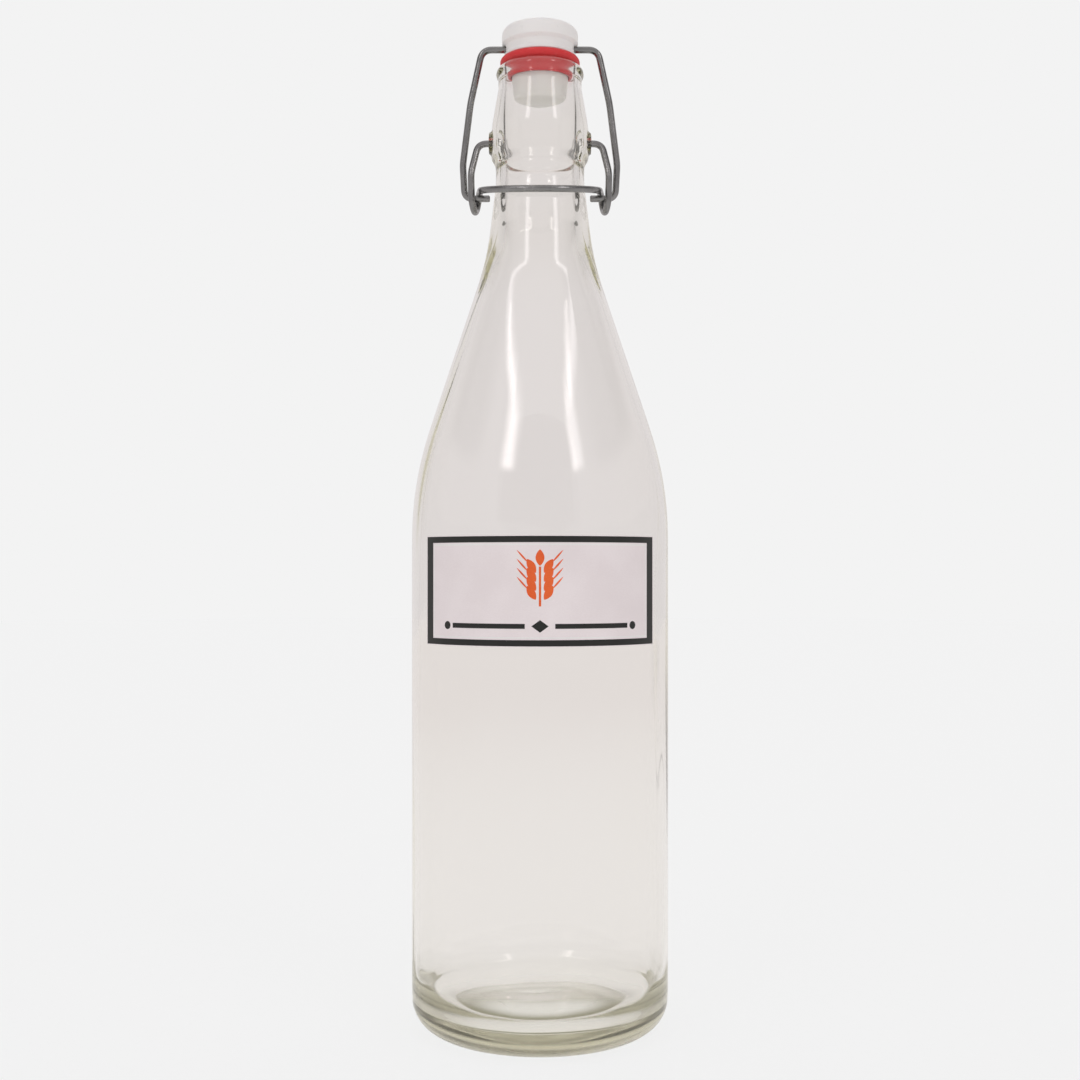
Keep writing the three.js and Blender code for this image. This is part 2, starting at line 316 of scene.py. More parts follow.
def evenly(points, spacing):
    """The same line in even steps."""
    lengths = np.linalg.norm(np.diff(points, axis=0), axis=1)
    along = np.concatenate([[0], np.cumsum(lengths)])
    count = int(along[-1] / spacing) + 1
    even = np.linspace(0, along[-1], count)
    return np.stack([np.interp(even, along, points[:, i]) for i in range(3)], axis=1)


def relaxed(points, rounds):
    """The same line with its kinks eased, its ends in place."""
    result = points.copy()
    for _ in range(rounds):
        result[1:-1] = 0.25 * result[:-2] + 0.5 * result[1:-1] + 0.25 * result[2:]
    return result


def wire(name, points, sides=20, chamfer=0.3):
    """A round wire along a line, with chamfered ends and UVs in millimetres along its length."""
    tangents = np.gradient(points, axis=0)
    tangents /= np.linalg.norm(tangents, axis=1)[:, None]
    normal = np.cross(tangents[0], [0, 1, 0.2])
    normal /= np.linalg.norm(normal)
    centres, radii, normals, directions = [], [], [], []
    for i, (point, tangent) in enumerate(zip(points, tangents)):
        normal = normal - tangent * (normal @ tangent)
        normal /= np.linalg.norm(normal)
        if i == 0:
            centres.append(point)
            radii.append(WIRE_RADIUS - chamfer)
            normals.append(normal)
            directions.append(tangent)
            point = point + tangent * chamfer
        if i == len(points) - 1:
            point = point - tangent * chamfer
        centres.append(point)
        radii.append(WIRE_RADIUS)
        normals.append(normal)
        directions.append(tangent)
        if i == len(points) - 1:
            centres.append(point + tangent * chamfer)
            radii.append(WIRE_RADIUS - chamfer)
            normals.append(normal)
            directions.append(tangent)
    angles = np.linspace(0, 2 * math.pi, sides, endpoint=False)
    vertices = []
    for centre, radius, across, tangent in zip(centres, radii, normals, directions):
        other = np.cross(tangent, across)
        for a in angles:
            vertices.append(centre + radius * (across * math.cos(a) + other * math.sin(a)))
    rows = len(centres)
    run = np.concatenate([[0], np.cumsum(np.linalg.norm(np.diff(centres, axis=0), axis=1))])
    faces, uvs = [], []
    for i in range(rows - 1):
        for j in range(sides):
            k = (j + 1) % sides
            faces.append((i * sides + j, i * sides + k, (i + 1) * sides + k, (i + 1) * sides + j))
            uvs += [
                (j / sides, run[i]),
                ((j + 1) / sides, run[i]),
                ((j + 1) / sides, run[i + 1]),
                (j / sides, run[i + 1]),
            ]
    faces.append(tuple(range(sides))[::-1])
    faces.append(tuple(range((rows - 1) * sides, rows * sides)))
    uvs += [(0.5, 0)] * sides + [(0.5, run[-1])] * sides
    return add_object(name, vertices, faces, uvs)


# --- the bottle ----------------------------------------------------------------------------

def bottle_outline():
    shoulder_centre = BODY_RADIUS - SHOULDER_RADIUS
    cone_start_r = shoulder_centre + SHOULDER_RADIUS * math.cos(CONE_ANGLE)
    cone_start_z = SHOULDER_START + SHOULDER_RADIUS * math.sin(CONE_ANGLE)

    def cone_radius(z):
        return cone_start_r - (z - cone_start_z) * math.tan(CONE_ANGLE)

    blend_r = cone_radius(CONE_TOP) + NECK_BLEND_RADIUS * math.cos(CONE_ANGLE)
    blend_z = CONE_TOP + NECK_BLEND_RADIUS * math.sin(CONE_ANGLE)
    neck_start_r = blend_r - NECK_BLEND_RADIUS * math.cos(NECK_ANGLE)
    neck_start_z = blend_z - NECK_BLEND_RADIUS * math.sin(NECK_ANGLE)
    neck_top = neck_start_z + (neck_start_r - NECK_RADIUS) / math.tan(NECK_ANGLE)
    finish_start_r = COLLAR_RADIUS - COLLAR_BLEND_RADIUS * (1 - math.cos(FINISH_ANGLE))
    finish_start_z = COLLAR_TOP + COLLAR_BLEND_RADIUS * math.sin(FINISH_ANGLE)
    finish_top = finish_start_z + (finish_start_r - FINISH_TOP_RADIUS) / math.tan(FINISH_ANGLE)
    dome_radius = (BEARING_INNER_RADIUS ** 2 + PUSH_UP ** 2) / (2 * PUSH_UP)
    dome_edge = math.acos(BEARING_INNER_RADIUS / dome_radius)
    half_turn = math.pi
    outside = [
        *arc(0, PUSH_UP - dome_radius, dome_radius, half_turn / 2, dome_edge, 24),
        *arc(BODY_RADIUS - HEEL_RADIUS, HEEL_RADIUS, HEEL_RADIUS, -half_turn / 2, 0, 24),
        *arc(shoulder_centre, SHOULDER_START, SHOULDER_RADIUS, 0, CONE_ANGLE, 24),
        *arc(
            blend_r, blend_z, NECK_BLEND_RADIUS, half_turn + CONE_ANGLE, half_turn + NECK_ANGLE, 16
        ),
        (NECK_RADIUS, neck_top),
        (NECK_RADIUS, COLLAR_BOTTOM - 1.4),
        (COLLAR_RADIUS - 0.4, COLLAR_BOTTOM - 0.4),
        (COLLAR_RADIUS, COLLAR_BOTTOM + 0.4),
        *arc(
            COLLAR_RADIUS - COLLAR_BLEND_RADIUS, COLLAR_TOP, COLLAR_BLEND_RADIUS, 0, FINISH_ANGLE, 8
        ),
        (FINISH_TOP_RADIUS, finish_top),
        *arc(
            LIP_RADIUS - LIP_BEAD_RADIUS,
            LIP_TOP - LIP_BEAD_RADIUS,
            LIP_BEAD_RADIUS,
            -half_turn / 4,
            half_turn / 2,
            16,
        ),
    ]
    inner_radius = BODY_RADIUS - WALL
    wall_in_cone = WALL / math.cos(CONE_ANGLE)
    flare_radius = cone_radius(BORE_FLARE_END) - wall_in_cone
    inside = [
        *arc(BORE_RADIUS + BORE_EDGE, LIP_TOP - BORE_EDGE, BORE_EDGE, half_turn / 2, half_turn, 8),
        (BORE_RADIUS, BORE_BOTTOM),
        (BORE_RADIUS + 1.3, BORE_BOTTOM - 6),
        (flare_radius - 3.4, BORE_FLARE_END + 8.5),
        (flare_radius, BORE_FLARE_END),
        *arc(shoulder_centre, SHOULDER_START, SHOULDER_RADIUS - WALL, CONE_ANGLE, 0, 24),
        *arc(
            inner_radius - INNER_HEEL_RADIUS,
            BASE_THICKNESS + INNER_HEEL_RADIUS + 1,
            INNER_HEEL_RADIUS,
            0,
            -math.radians(80),
            16,
        ),
        (0, PUSH_UP + BASE_THICKNESS),
    ]
    return [*outside, *inside]


def bottle_softness(radius, height):
    """How far a corner of the outline is rounded there."""
    if height > 281 and radius > 9:
        return 0.32 if height > 286 else 1.0
    if height > 262:
        return 0.9
    if height < 9 and radius > 24:
        return 1.2
    return 2.4


def bottle_spacing(radius, height):
    """The distance between two rings of the mesh there."""
    if height > 309:
        return 0.42
    if height > 279:
        return 0.5 if radius > 11 else 1.0
    if height > 236:
        return 1.4
    if height > 152:
        return 2.4
    if height > 26:
        return 4.0
    return 0.9


def bottle():
    dense = softened(bottle_outline(), bottle_softness)
    outline = thinned(dense, bottle_spacing)
    segments = 192
    vertices, faces = lathe(outline, segments)
    radius = np.hypot(vertices[:, 0], vertices[:, 1])
    safe = np.maximum(radius, 1e-6)
    angle = np.arctan2(vertices[:, 1], vertices[:, 0])
    height = vertices[:, 2]
    turn = int(np.argmax(outline[:, 1]))  # the top of the lip: outside before it, inside after
    ring = np.arange(len(vertices)) // segments + 1
    inside = (ring > turn).astype(float)
    inside[-2:] = (0, 1)

    # The blown inside is never quite round or even, most of all in the base and the shoulder.
    slow = (
        0.45 * np.sin(2 * angle + 0.7 + height / 41)
        + 0.30 * np.sin(3 * angle + 2.1 - height / 29)
        + 0.22 * np.sin(5 * angle + 4.0 + height / 17)
    )
    streaks = (
        0.05 * np.sin(11 * angle + 1.3 + height / 60)
        + 0.04 * np.sin(17 * angle - height / 80)
    )
    blown = np.clip((BORE_BOTTOM - 4 - height) / 16, 0, 1) * np.clip((radius - 4) / 16, 0, 1)
    change = inside * blown * (0.26 * slow + streaks)
    lift = inside * np.exp(-(((height - 11) / 7) ** 2)) * np.clip(radius / 20, 0, 1)
    height_change = lift * (0.5 * np.sin(2 * angle + 1.1) + 0.3 * np.sin(3 * angle - 0.6))

    # The outside keeps faint marks of the mould: its two seams, a ring, and a soft unevenness.
    outside = 1 - inside
    seam = np.exp(-((np.sin(angle) * safe / 0.35) ** 2)) * np.clip((height - 12) / 6, 0, 1)
    below_finish = np.clip((308 - height) / 4, 0, 1)
    change += outside * 0.10 * seam * below_finish
    change += outside * 0.05 * np.exp(-(((height - PARTING_LINE) / 0.35) ** 2))
    orange_peel = 0.035 * np.sin(7 * angle + height / 23) * np.sin(height / 31 + 1.7)
    change += outside * orange_peel * np.clip((height - 14) / 20, 0, 1) * np.clip(
        (300 - height) / 40, 0, 1
    )
    scale = (radius + change) / safe
    vertices[:, 0] *= scale
    vertices[:, 1] *= scale
    vertices[:, 2] += height_change

    # A boss on each side of the collar
    from_pivot = np.hypot(vertices[:, 1], vertices[:, 2] - PIVOT_HEIGHT)
    near = outside * np.clip((BOSS_RADIUS + 0.9 - from_pivot) / 0.9, 0, 1)
    near = near * near * (3 - 2 * near) * (np.abs(vertices[:, 0]) > 12)
    sign = np.sign(vertices[:, 0])
    vertices[:, 0] += near * (sign * BOSS_FACE - vertices[:, 0])

    glass = add_object("glass_bottle_body", vertices, faces)
    holes = [
        cross_cylinder("hole", PIVOT_HOLE_RADIUS, a, b, PIVOT_HEIGHT, 32)
        for a, b in ((PIVOT_HOLE_END, BOSS_FACE + 2), (-BOSS_FACE - 2, -PIVOT_HOLE_END))
    ]
    return cut(glass, holes)


# --- the closure ---------------------------------------------------------------------------

def stopper():
    dome = STEM_DOME_START - STEM_TIP
    half_turn = math.pi
    outline = [
        *[
            (STEM_TIP_RADIUS * math.cos(a), STEM_DOME_START - dome * math.sin(a))
            for a in np.linspace(half_turn / 2, 0, 12)
        ],
        (STEM_RADIUS, LIP_TOP),
        (STEM_RADIUS, HEAD_BOTTOM),
        (FOOT_RADIUS, HEAD_BOTTOM),
        (FOOT_RADIUS, HEAD_BOTTOM + 0.8),
        (WAIST_RADIUS, HEAD_BOTTOM + 1.6),
        (WAIST_RADIUS, HEAD_RIM - 0.8),
        (HEAD_RADIUS, HEAD_RIM),
        *arc(HEAD_RADIUS - HEAD_EDGE, HEAD_TOP - HEAD_EDGE, HEAD_EDGE, 0, half_turn / 2, 12),
        (9.2, HEAD_TOP),
        (8.8, HEAD_TOP - 0.35),
        (2.0, HEAD_TOP - 0.35),
        (1.6, HEAD_TOP - 0.75),
        (0, HEAD_TOP - 0.75),
    ]
    dense = softened(outline, lambda radius, height: 0.16 if height > 316 else 0.5, 0.08)
    rings = thinned(dense, lambda radius, height: 0.3 if height > 316 else 0.6)
    body = add_object("stopper_moulding", *lathe(rings, 128))
    reach = HEAD_RADIUS + 1
    hole = cross_cylinder("hole", CROSS_HOLE_RADIUS, -reach, reach, CROSS_HOLE_HEIGHT, 40)
    return cut(body, [hole])


def gasket():
    """The rubber as it is when clamped: it follows the lip and the top of the bore."""
    bottom = LIP_TOP + AIR_GAP
    top = HEAD_BOTTOM - 0.05
    inner = STEM_RADIUS + 0.05
    edge = (top - bottom) / 2
    middle = (top + bottom) / 2
    section = [
        (inner, SKIRT_BOTTOM),
        (SKIRT_RADIUS - 0.1, SKIRT_BOTTOM),
        (SKIRT_RADIUS + 0.1, SKIRT_BOTTOM + 0.4),
        (BORE_RADIUS - 0.15, LIP_TOP - BORE_EDGE - 0.6),
        (BORE_RADIUS + 0.1, LIP_TOP - 0.25),
        (BORE_RADIUS + 0.5, bottom),
        *arc(GASKET_RADIUS - edge, middle, edge, -math.pi / 2, math.pi / 2, 14),
        (inner, top),
    ]
    fine = []
    for i, point in enumerate(section):
        following = section[(i + 1) % len(section)]
        steps = max(1, int(math.dist(point, following) / 0.5))
        for k in range(steps):
            share = k / steps
            fine.append([p + (q - p) * share for p, q in zip(point, following)])
    return add_object("gasket_ring", *lathe(fine, 128, closed=True))


def bail():
    corners = [
        (-BAIL_END, BAIL_PIVOT_Y, BAIL_PIVOT_Z, 0),
        *BAIL_CORNERS,
        (0, 0, CROSS_HOLE_HEIGHT, 0),
    ]
    left_half = bent_route(corners)
    middle = left_half.pop()
    route = evenly(mirrored(left_half, [middle]), 0.45)
    return wire("bail_wire_bent", relaxed(route, 3))


def lever():
    front = EYE_Y - EYE_RADIUS
    leg = bent_route([
        (-LEVER_END, 0, PIVOT_HEIGHT, 0),
        (-LEG_TOP_X, 0, PIVOT_HEIGHT, LEG_TOP_BEND),
        (-LEG_KNEE[0], front, LEG_KNEE[1], LEG_KNEE_BEND),
        (-EYE_OUTER_X, front, EYE_Z, 0),
    ])
    turn = math.radians(270 + CROSSBAR_SLOPE)
    eye = []
    for share in np.linspace(0, 1, 72)[1:]:
        eye.append(np.array([
            -EYE_OUTER_X + (EYE_OUTER_X - EYE_INNER_X) * share,
            EYE_Y - EYE_RADIUS * math.cos(turn * share),
            EYE_Z - EYE_RADIUS * math.sin(turn * share),
        ]))
    start = eye[-1]
    fall = math.radians(CROSSBAR_SLOPE)
    crossbar = []
    for angle in np.linspace(0, math.pi, 120)[1:-1]:
        forward = CROSSBAR_REACH * math.sin(angle)
        crossbar.append(np.array([
            -EYE_INNER_X * math.cos(angle),
            start[1] - forward * math.cos(fall),
            start[2] - forward * math.sin(fall),
        ]))
    route = evenly(mirrored([*leg, *eye], crossbar), 0.4)
    return wire("lever_wire_bent", relaxed(route, 4))


# --- the label -----------------------------------------------------------------------------

def bent_plate(outline, low, high, longest=1.5):
    """Vertices and faces of a thin plate bent round the bottle, from a convex outline of (distance
    along the label, height above its middle), between two radii."""
    fine = []
    for i, point in enumerate(outline):
        following = outline[(i + 1) % len(outline)]
        steps = max(1, math.ceil(math.dist(point, following) / longest))
        for k in range(steps):
            share = k / steps
            fine.append([p + (q - p) * share for p, q in zip(point, following)])
    count = len(fine)
    vertices = []
    for radius in (low, high):
        for along, up in fine:
            angle = along / LABEL_OUTER
            vertices.append((
                radius * math.sin(angle), -radius * math.cos(angle), LABEL_MIDDLE + up
            ))
    centre = np.mean(fine, axis=0)
    for radius in (low, high):
        angle = centre[0] / LABEL_OUTER
        vertices.append((
            radius * math.sin(angle), -radius * math.cos(angle), LABEL_MIDDLE + centre[1]
        ))
    faces = []
    for j in range(count):
        k = (j + 1) % count
        faces.append((j, k, count + k, count + j))
        faces.append((k, j, 2 * count))
        faces.append((count + j, count + k, 2 * count + 1))
    return vertices, faces


def bent_rectangle(left, right, bottom, top, low, high):
    """A thin rectangular plate bent round the bottle as one closed grid."""
    columns = max(2, math.ceil((right - left) / 1.2))
    xs = np.linspace(left, right, columns + 1)
    vertices = []
    for x in xs:
        angle = x / LABEL_OUTER
        for radius in (low, high):
            for up in (bottom, top):
                vertices.append((
                    radius * math.sin(angle), -radius * math.cos(angle), LABEL_MIDDLE + up
                ))
    faces = []
    for i in range(len(xs) - 1):
        a, b = 4 * i, 4 * (i + 1)
        faces.append((a, b, b + 1, a + 1))
        faces.append((a + 2, a + 3, b + 3, b + 2))
        faces.append((a, a + 2, b + 2, b))
        faces.append((a + 1, b + 1, b + 3, a + 3))
    last = 4 * (len(xs) - 1)
    faces.append((0, 1, 3, 2))
    faces.append((last, last + 2, last + 3, last + 1))
    return vertices, faces


def leaf(centre_x, centre_y, length, width, tilt):
    """A pointed oval."""
    points = []
    for share in np.linspace(0, 1, 13):
        points.append((length * (share - 0.5), width / 2 * math.sin(math.pi * share) ** 0.8))
    for share in np.linspace(1, 0, 13)[1:-1]:
        points.append((length * (share - 0.5), -width / 2 * math.sin(math.pi * share) ** 0.8))
    c, s = math.cos(tilt), math.sin(tilt)
    return [(centre_x + x * c - y * s, centre_y + x * s + y * c) for x, y in points]


def label_print():
    """Frame, thin inner line, an ear of barley and a plain ornamental rule."""
    low, high = LABEL_OUTER - 0.01, LABEL_OUTER + 0.02
    half, tall = LABEL_HALF_WIDTH - 0.25, LABEL_HEIGHT / 2 - 0.2
    side, border = 3.3, 1.9
    line_at, line = 0.5, 0.35
    parts = []
    parts.append((bent_rectangle(-half, half, tall - border, tall, low, high), 0))
    parts.append((bent_rectangle(-half, half, -tall, -tall + border, low, high), 0))
    for left in (-half, half - side):
        parts.append((
            bent_rectangle(left, left + side, -tall + border, tall - border, low, high), 0
        ))
    inner_half, inner_tall = half - side - line_at, tall - border - line_at
    parts.append((
        bent_rectangle(-inner_half, inner_half, inner_tall - line, inner_tall, low, high), 1
    ))
    parts.append((
        bent_rectangle(-inner_half, inner_half, -inner_tall, -inner_tall + line, low, high), 1
    ))
    for left in (-inner_half, inner_half - line):
        parts.append((
            bent_rectangle(
                left, left + line, -inner_tall + line, inner_tall - line, low, high
            ), 1
        ))
    ear_x, ear_y = 0.0, 4.2
    parts.append((bent_plate(leaf(ear_x, ear_y + 5.9, 5.0, 2.7, math.pi / 2), low, high), 2))
    for row in range(4):
        base = ear_y + 3.4 - 2.7 * row
        for sign in (-1, 1):
            grain = leaf(
                ear_x + sign * 2.6, base, 5.0, 2.4, math.pi / 2 - sign * math.radians(33)
            )
            parts.append((bent_plate(grain, low, high), 2))
            awn = leaf(
                ear_x + sign * 5.3, base + 2.9, 5.4, 0.55, math.pi / 2 - sign * math.radians(42)
            )
            parts.append((bent_plate(awn, low, high), 2))
    parts.append((bent_rectangle(-0.35, 0.35, ear_y - 8.8, ear_y + 3.2, low, high), 2))
    rule_y = -10.6
    diamond = [(0, rule_y + 1.9), (-2.6, rule_y), (0, rule_y - 1.9), (2.6, rule_y)]
    parts.append((bent_plate(diamond, low, high, 0.8), 0))
    for sign in (-1, 1):
        a, b = sorted((sign * 4.6, sign * 29))
        parts.append((bent_rectangle(a, b, rule_y - 0.75, rule_y + 0.75, low, high), 0))
        dot = [
            (sign * 31.2 + 1.25 * math.cos(t), rule_y + 1.25 * math.sin(t))
            for t in np.linspace(0, 2 * math.pi, 24, endpoint=False)
        ]
        parts.append((bent_plate(dot, low, high), 0))
    vertices, faces, inks = [], [], []
    for (piece_vertices, piece_faces), ink in parts:
        base = len(vertices)
        vertices += list(piece_vertices)
        faces += [tuple(base + i for i in face) for face in piece_faces]
        inks += [ink] * len(piece_faces)
    return add_object("label_print", vertices, faces, smooth=False), inks


# --- materials -----------------------------------------------------------------------------

class Nodes:
    """Builds one node tree, with short calls for the nodes that these materials use."""

    def __init__(self, tree):
        self.tree = tree
        tree.nodes.clear()

    def add(self, kind, inputs=None, **settings):
        node = self.tree.nodes.new(kind)
        for key, value in settings.items():
            setattr(node, key, value)
        for key, value in (inputs or {}).items():
            if isinstance(value, bpy.types.NodeSocket):
                self.tree.links.new(value, node.inputs[key])
            else:
                node.inputs[key].default_value = value
        return node

    def math(self, operation, *values):
        return self.add("ShaderNodeMath", dict(enumerate(values)), operation=operation).outputs[0]

    def noise(self, vector, scale, detail=3.0, roughness=0.5):
        inputs = {"Vector": vector, "Scale": scale, "Detail": detail, "Roughness": roughness}
        return self.add("ShaderNodeTexNoise", inputs).outputs["Fac"]

    def ramp(self, value, low, high, to_low, to_high):
        inputs = {"Value": value, 1: low, 2: high, 3: to_low, 4: to_high}
        return self.add("ShaderNodeMapRange", inputs, interpolation_type="SMOOTHSTEP").outputs[0]

    def blend(self, factor, a, b):
        node = self.add("ShaderNodeMix", data_type="RGBA")
        for index, value in ((0, factor), (6, a), (7, b)):
            if isinstance(value, bpy.types.NodeSocket):
                self.tree.links.new(value, node.inputs[index])
            else:
                node.inputs[index].default_value = value
        return node.outputs[2]

    def bump(self, height, distance, strength=1.0):
        inputs = {"Height": height, "Distance": distance, "Strength": strength}
        return self.add("ShaderNodeBump", inputs).outputs[0]

    def place(self):
        return self.add("ShaderNodeTexCoord").outputs["Object"]


def material(name):
    made = bpy.data.materials.new(name)
    made.use_nodes = True
    return made, Nodes(made.node_tree)


def glass_material():
    made, n = material("flint_glass")
    place = n.place()
    wavy = n.noise(place, 55, 2.0)
    seeds = n.noise(place, 900, 2.0)
    height = n.math("ADD", n.math("MULTIPLY", wavy, 0.9), n.math("MULTIPLY", seeds, 0.02))
    smudges = n.ramp(n.noise(place, 32, 5.0, 0.6), 0.45, 0.75, 0.0, 0.035)
    up = n.add("ShaderNodeSeparateXYZ", {0: place}).outputs[2]
    # The heel is worn dull, which also softens the bands that are seen through it.
    scuffs = n.math("ADD", up, n.math("MULTIPLY", wavy, 0.004))
    worn = n.ramp(scuffs, 0.002, 0.012, 0.34, 0.0)
    shader = n.add("ShaderNodeBsdfPrincipled", {
        "Base Color": (0.985, 0.98, 0.975, 1),
        "Roughness": n.math("ADD", smudges, worn),
        "IOR": 1.52,
        "Transmission Weight": 1.0,
        "Normal": n.bump(height, 0.00004, 0.5),
    })
    clear = n.add("ShaderNodeBsdfTransparent", {"Color": (0.965, 0.965, 0.95, 1)})
    shadow = n.add("ShaderNodeLightPath").outputs["Is Shadow Ray"]
    mix = n.add("ShaderNodeMixShader", {0: shadow, 1: shader.outputs[0], 2: clear.outputs[0]})
    depth = n.add("ShaderNodeVolumeAbsorption", {"Color": (0.62, 0.60, 0.28, 1), "Density": 12.0})
    n.add("ShaderNodeOutputMaterial", {"Surface": mix.outputs[0], "Volume": depth.outputs[0]})
    return made


def steel_material():
    made, n = material("drawn_steel")
    place = n.place()
    along = n.add("ShaderNodeUVMap", uv_map="UVMap").outputs[0]
    stretched = n.add("ShaderNodeMapping", {"Vector": along, "Scale": (26.0, 0.35, 1.0)}).outputs[0]
    streaks = n.noise(stretched, 1.0, 4.0, 0.6)
    patches = n.noise(place, 180, 4.0, 0.6)
    spots = n.ramp(n.noise(place, 700, 3.0, 0.6), 0.62, 0.78, 0.0, 1.0)
    colour = n.blend(patches, (0.16, 0.16, 0.16, 1), (0.35, 0.35, 0.345, 1))
    colour = n.blend(n.math("MULTIPLY", spots, 0.5), colour, (0.16, 0.145, 0.13, 1))
    both = n.math("ADD", n.math("MULTIPLY", streaks, 0.5), n.math("MULTIPLY", patches, 0.5))
    rough = n.ramp(both, 0.3, 0.7, 0.16, 0.30)
    shader = n.add("ShaderNodeBsdfPrincipled", {
        "Base Color": colour,
        "Metallic": 1.0,
        "Roughness": rough,
        "Normal": n.bump(streaks, 0.00006, 0.6),
    })
    n.add("ShaderNodeOutputMaterial", {"Surface": shader.outputs[0]})
    return made


def plastic_material():
    made, n = material("white_polyethylene")
    place = n.place()
    cloudy = n.noise(place, 90, 3.0, 0.55)
    fine = n.noise(place, 2600, 2.0, 0.5)
    scuffs = n.ramp(n.noise(place, 420, 5.0, 0.7), 0.60, 0.72, 0.0, 1.0)
    colour = n.blend(cloudy, (0.87, 0.865, 0.85, 1), (0.93, 0.93, 0.92, 1))
    colour = n.blend(n.math("MULTIPLY", scuffs, 0.22), colour, (0.60, 0.59, 0.57, 1))
    rough = n.math("ADD", n.math("MULTIPLY", cloudy, 0.14), n.math("MULTIPLY", scuffs, 0.12))
    height = n.math("ADD", n.math("MULTIPLY", fine, 0.4), n.math("MULTIPLY", cloudy, 0.6))
    shader = n.add("ShaderNodeBsdfPrincipled", {
        "Base Color": colour,
        "Roughness": n.math("ADD", rough, 0.28),
        "IOR": 1.51,
        "Subsurface Weight": 0.25,
        "Subsurface Radius": (1.0, 0.95, 0.85),
        "Subsurface Scale": 0.0025,
        "Normal": n.bump(height, 0.00006, 0.5),
    })
    n.add("ShaderNodeOutputMaterial", {"Surface": shader.outputs[0]})
    return made


def rubber_material():
    made, n = material("red_rubber")
    place = n.place()
    cloudy = n.noise(place, 220, 3.0, 0.6)
    grain = n.noise(place, 3200, 3.0, 0.6)
    bloom = n.ramp(n.noise(place, 520, 4.0, 0.65), 0.52, 0.74, 0.0, 1.0)
    colour = n.blend(cloudy, (0.62, 0.020, 0.026, 1), (0.76, 0.036, 0.040, 1))
    colour = n.blend(n.math("MULTIPLY", bloom, 0.14), colour, (0.76, 0.20, 0.18, 1))
    shader = n.add("ShaderNodeBsdfPrincipled", {
        "Base Color": colour,
        "Roughness": n.ramp(grain, 0.3, 0.7, 0.42, 0.60),
        "IOR": 1.5,
        "Subsurface Weight": 0.12,
        "Subsurface Radius": (1.0, 0.2, 0.15),
        "Subsurface Scale": 0.0012,
        "Normal": n.bump(grain, 0.00008, 0.6),
    })
    n.add("ShaderNodeOutputMaterial", {"Surface": shader.outputs[0]})
    return made


def paper_material(name, dark, light, rough):
    """Coated paper or ink: fibres in the colour and the bump."""
    made, n = material(name)
    place = n.place()
    squeezed = n.add("ShaderNodeMapping", {"Vector": place, "Scale": (1.0, 1.0, 2.6)}).outputs[0]
    fibres = n.noise(squeezed, 1500, 5.0, 0.65)
    cloudy = n.noise(place, 70, 3.0, 0.5)
    both = n.math("ADD", n.math("MULTIPLY", fibres, 0.45), n.math("MULTIPLY", cloudy, 0.55))
    shader = n.add("ShaderNodeBsdfPrincipled", {
        "Base Color": n.blend(n.ramp(both, 0.35, 0.65, 0.0, 1.0), dark, light),
        "Roughness": n.ramp(fibres, 0.35, 0.65, rough - 0.06, rough + 0.06),
        "IOR": 1.45,
        "Normal": n.bump(fibres, 0.00003, 0.5),
    })
    n.add("ShaderNodeOutputMaterial", {"Surface": shader.outputs[0]})
    return made


# --- the pieces ----------------------------------------------------------------------------

def finish_piece(obj, made, body, node):
    obj.data.materials.clear()
    obj.data.materials.append(made)
    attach(obj, body)
    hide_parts(node)


steel = steel_material()
finish_piece(bottle(), glass_material(), "bottle", "glass_bottle")
finish_piece(stopper(), plastic_material(), "stopper", "stopper")
finish_piece(gasket(), rubber_material(), "stopper", "gasket")
finish_piece(bail(), steel, "bail", "bail_wire")
finish_piece(lever(), steel, "lever", "lever_wire")

sheet_vertices, sheet_faces = bent_rectangle(
    -LABEL_HALF_WIDTH,
    LABEL_HALF_WIDTH,
    -LABEL_HEIGHT / 2,
    LABEL_HEIGHT / 2,
    LABEL_INNER,
    LABEL_OUTER,
)
label = add_object("label_sheet", sheet_vertices, sheet_faces, sharp_angle=40)
paper = paper_material("label_paper", (0.85, 0.79, 0.80, 1), (0.90, 0.845, 0.855, 1), 0.52)
finish_piece(label, paper, "bottle", "front_label")

printed, inks = label_print()
black = paper_material("black_ink", (0.006, 0.008, 0.006, 1), (0.012, 0.014, 0.011, 1), 0.42)
white = paper_material("white_ink", (0.84, 0.84, 0.83, 1), (0.90, 0.90, 0.89, 1), 0.5)
orange = paper_material("orange_ink", (0.80, 0.105, 0.014, 1), (0.88, 0.15, 0.026, 1), 0.45)
finish_piece(printed, black, "bottle", "front_label")
printed.data.materials.append(white)
printed.data.materials.append(orange)
printed.data.polygons.foreach_set("material_index", inks)


# --- the stage -----------------------------------------------------------------------------

